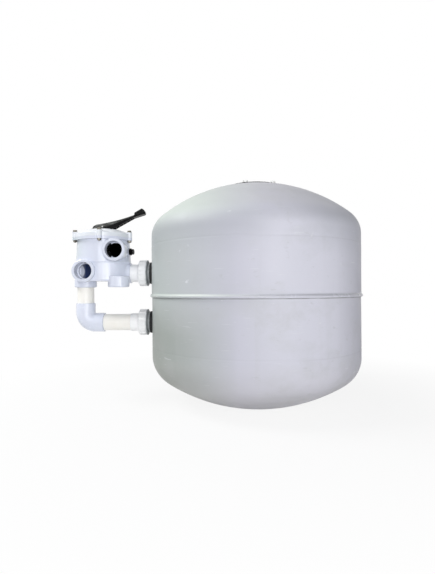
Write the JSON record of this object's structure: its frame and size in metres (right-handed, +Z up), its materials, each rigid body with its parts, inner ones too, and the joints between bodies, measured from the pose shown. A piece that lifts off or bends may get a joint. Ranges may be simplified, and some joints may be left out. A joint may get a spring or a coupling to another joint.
{
  "type": "pool sand filter",
  "caption": "Domed pressure tank for filter sand, with a side-mounted multiport valve turned by a press-down lever, unions, a pipe loop, inner collector, bolted lid and drain.",
  "frame": {"origin": "middle of the tank's flat foot, on the tank's axis", "axes": "+Z up along the tank's axis; the valve is on the -X side; the pump and return ports point along -Y, to the front"},
  "size_m": [1.0598, 0.799, 0.802],
  "materials": {
    "tank_shell": "matte gel coat, pale cool grey",
    "closure_plastic": "dark moulded plastic",
    "steel": "stainless steel",
    "rubber": "black rubber",
    "fitting_grey": "grey moulded plastic",
    "union_white": "white moulded plastic",
    "pipe_cream": "cream pipe",
    "inner_plastic": "plain pipe and fittings inside the tank",
    "valve_white": "bluish white moulded plastic, glossy",
    "diverter_plastic": "glass-filled plastic",
    "black_plastic": "black moulded plastic with a soft shine"
  },
  "bodies": {
    "tank": {"air_bleed_o_ring": "rubber", "air_bleed_plug": "closure_plastic", "closure_bolts": "steel", "closure_gasket": "rubber", "closure_lid": "closure_plastic", "closure_washers": "steel", "drain_cap": "black_plastic", "drain_cap_gasket": "rubber", "drain_fitting": "fitting_grey", "drain_gasket": "rubber", "drain_locknut": "fitting_grey", "gauge_plug_o_ring": "rubber", "gauge_port_plug": "black_plastic", "horizontal_pipe": "pipe_cream", "inlet_diffuser": "inner_plastic", "inlet_elbow": "inner_plastic", "inlet_pipe": "inner_plastic", "lateral_hub": "inner_plastic", "laterals": "inner_plastic", "lid_bolts": "steel", "lid_nuts": "steel", "lid_o_ring": "rubber", "lid_washers": "steel", "lower_bulkhead": "fitting_grey", "lower_bulkhead_gasket": "rubber", "lower_bulkhead_locknut": "fitting_grey", "lower_union_nut": "union_white", "lower_union_o_ring": "rubber", "lower_union_tailpiece": "union_white", "outlet_elbow": "inner_plastic", "outlet_pipe": "inner_plastic", "pipe_elbow": "valve_white", "riser_pipe": "inner_plastic", "spider_gasket": "rubber", "stand_pipe": "inner_plastic", "tank_lower_shell": "tank_shell", "tank_upper_shell": "tank_shell", "upper_bulkhead": "fitting_grey", "upper_bulkhead_gasket": "rubber", "upper_bulkhead_locknut": "fitting_grey", "upper_union_nut": "union_white", "upper_union_o_ring": "rubber", "upper_union_tailpiece": "union_white", "valve_body": "valve_white", "valve_lid": "valve_white", "vertical_pipe": "pipe_cream"},
    "selector": {"handle_washer": "diverter_plastic", "diverter_spring": "steel", "upper_slip_washer": "steel"},
    "rotor": {"diverter": "diverter_plastic", "stem_o_rings": "rubber", "handle_pin": "steel", "lower_slip_washer": "steel"},
    "lever": {"handle": "black_plastic"}
  },
  "joints": [
    {"name": "selector_turn", "type": "hinge", "parent": "tank", "child": "selector", "pos_m": [-0.565, 0, 0.63], "axis": [0, 0, 1], "continuous": true},
    {"name": "diverter_lift", "type": "slide", "parent": "selector", "child": "rotor", "axis": [0, 0, 1], "range_m": [0, 0.008], "stiffness_N_per_m": 5000, "springref_m": -0.012, "deforming": ["diverter_spring"]},
    {"name": "handle_press", "type": "hinge", "parent": "rotor", "child": "lever", "pos_m": [-0.565, 0, 0.6405], "axis": [0, 1, 0], "range_deg": [0, 12]}
  ],
  "couplings": [
    {"joint": "diverter_lift", "follows": "handle_press", "m_per_rad": 0.038}
  ]
}
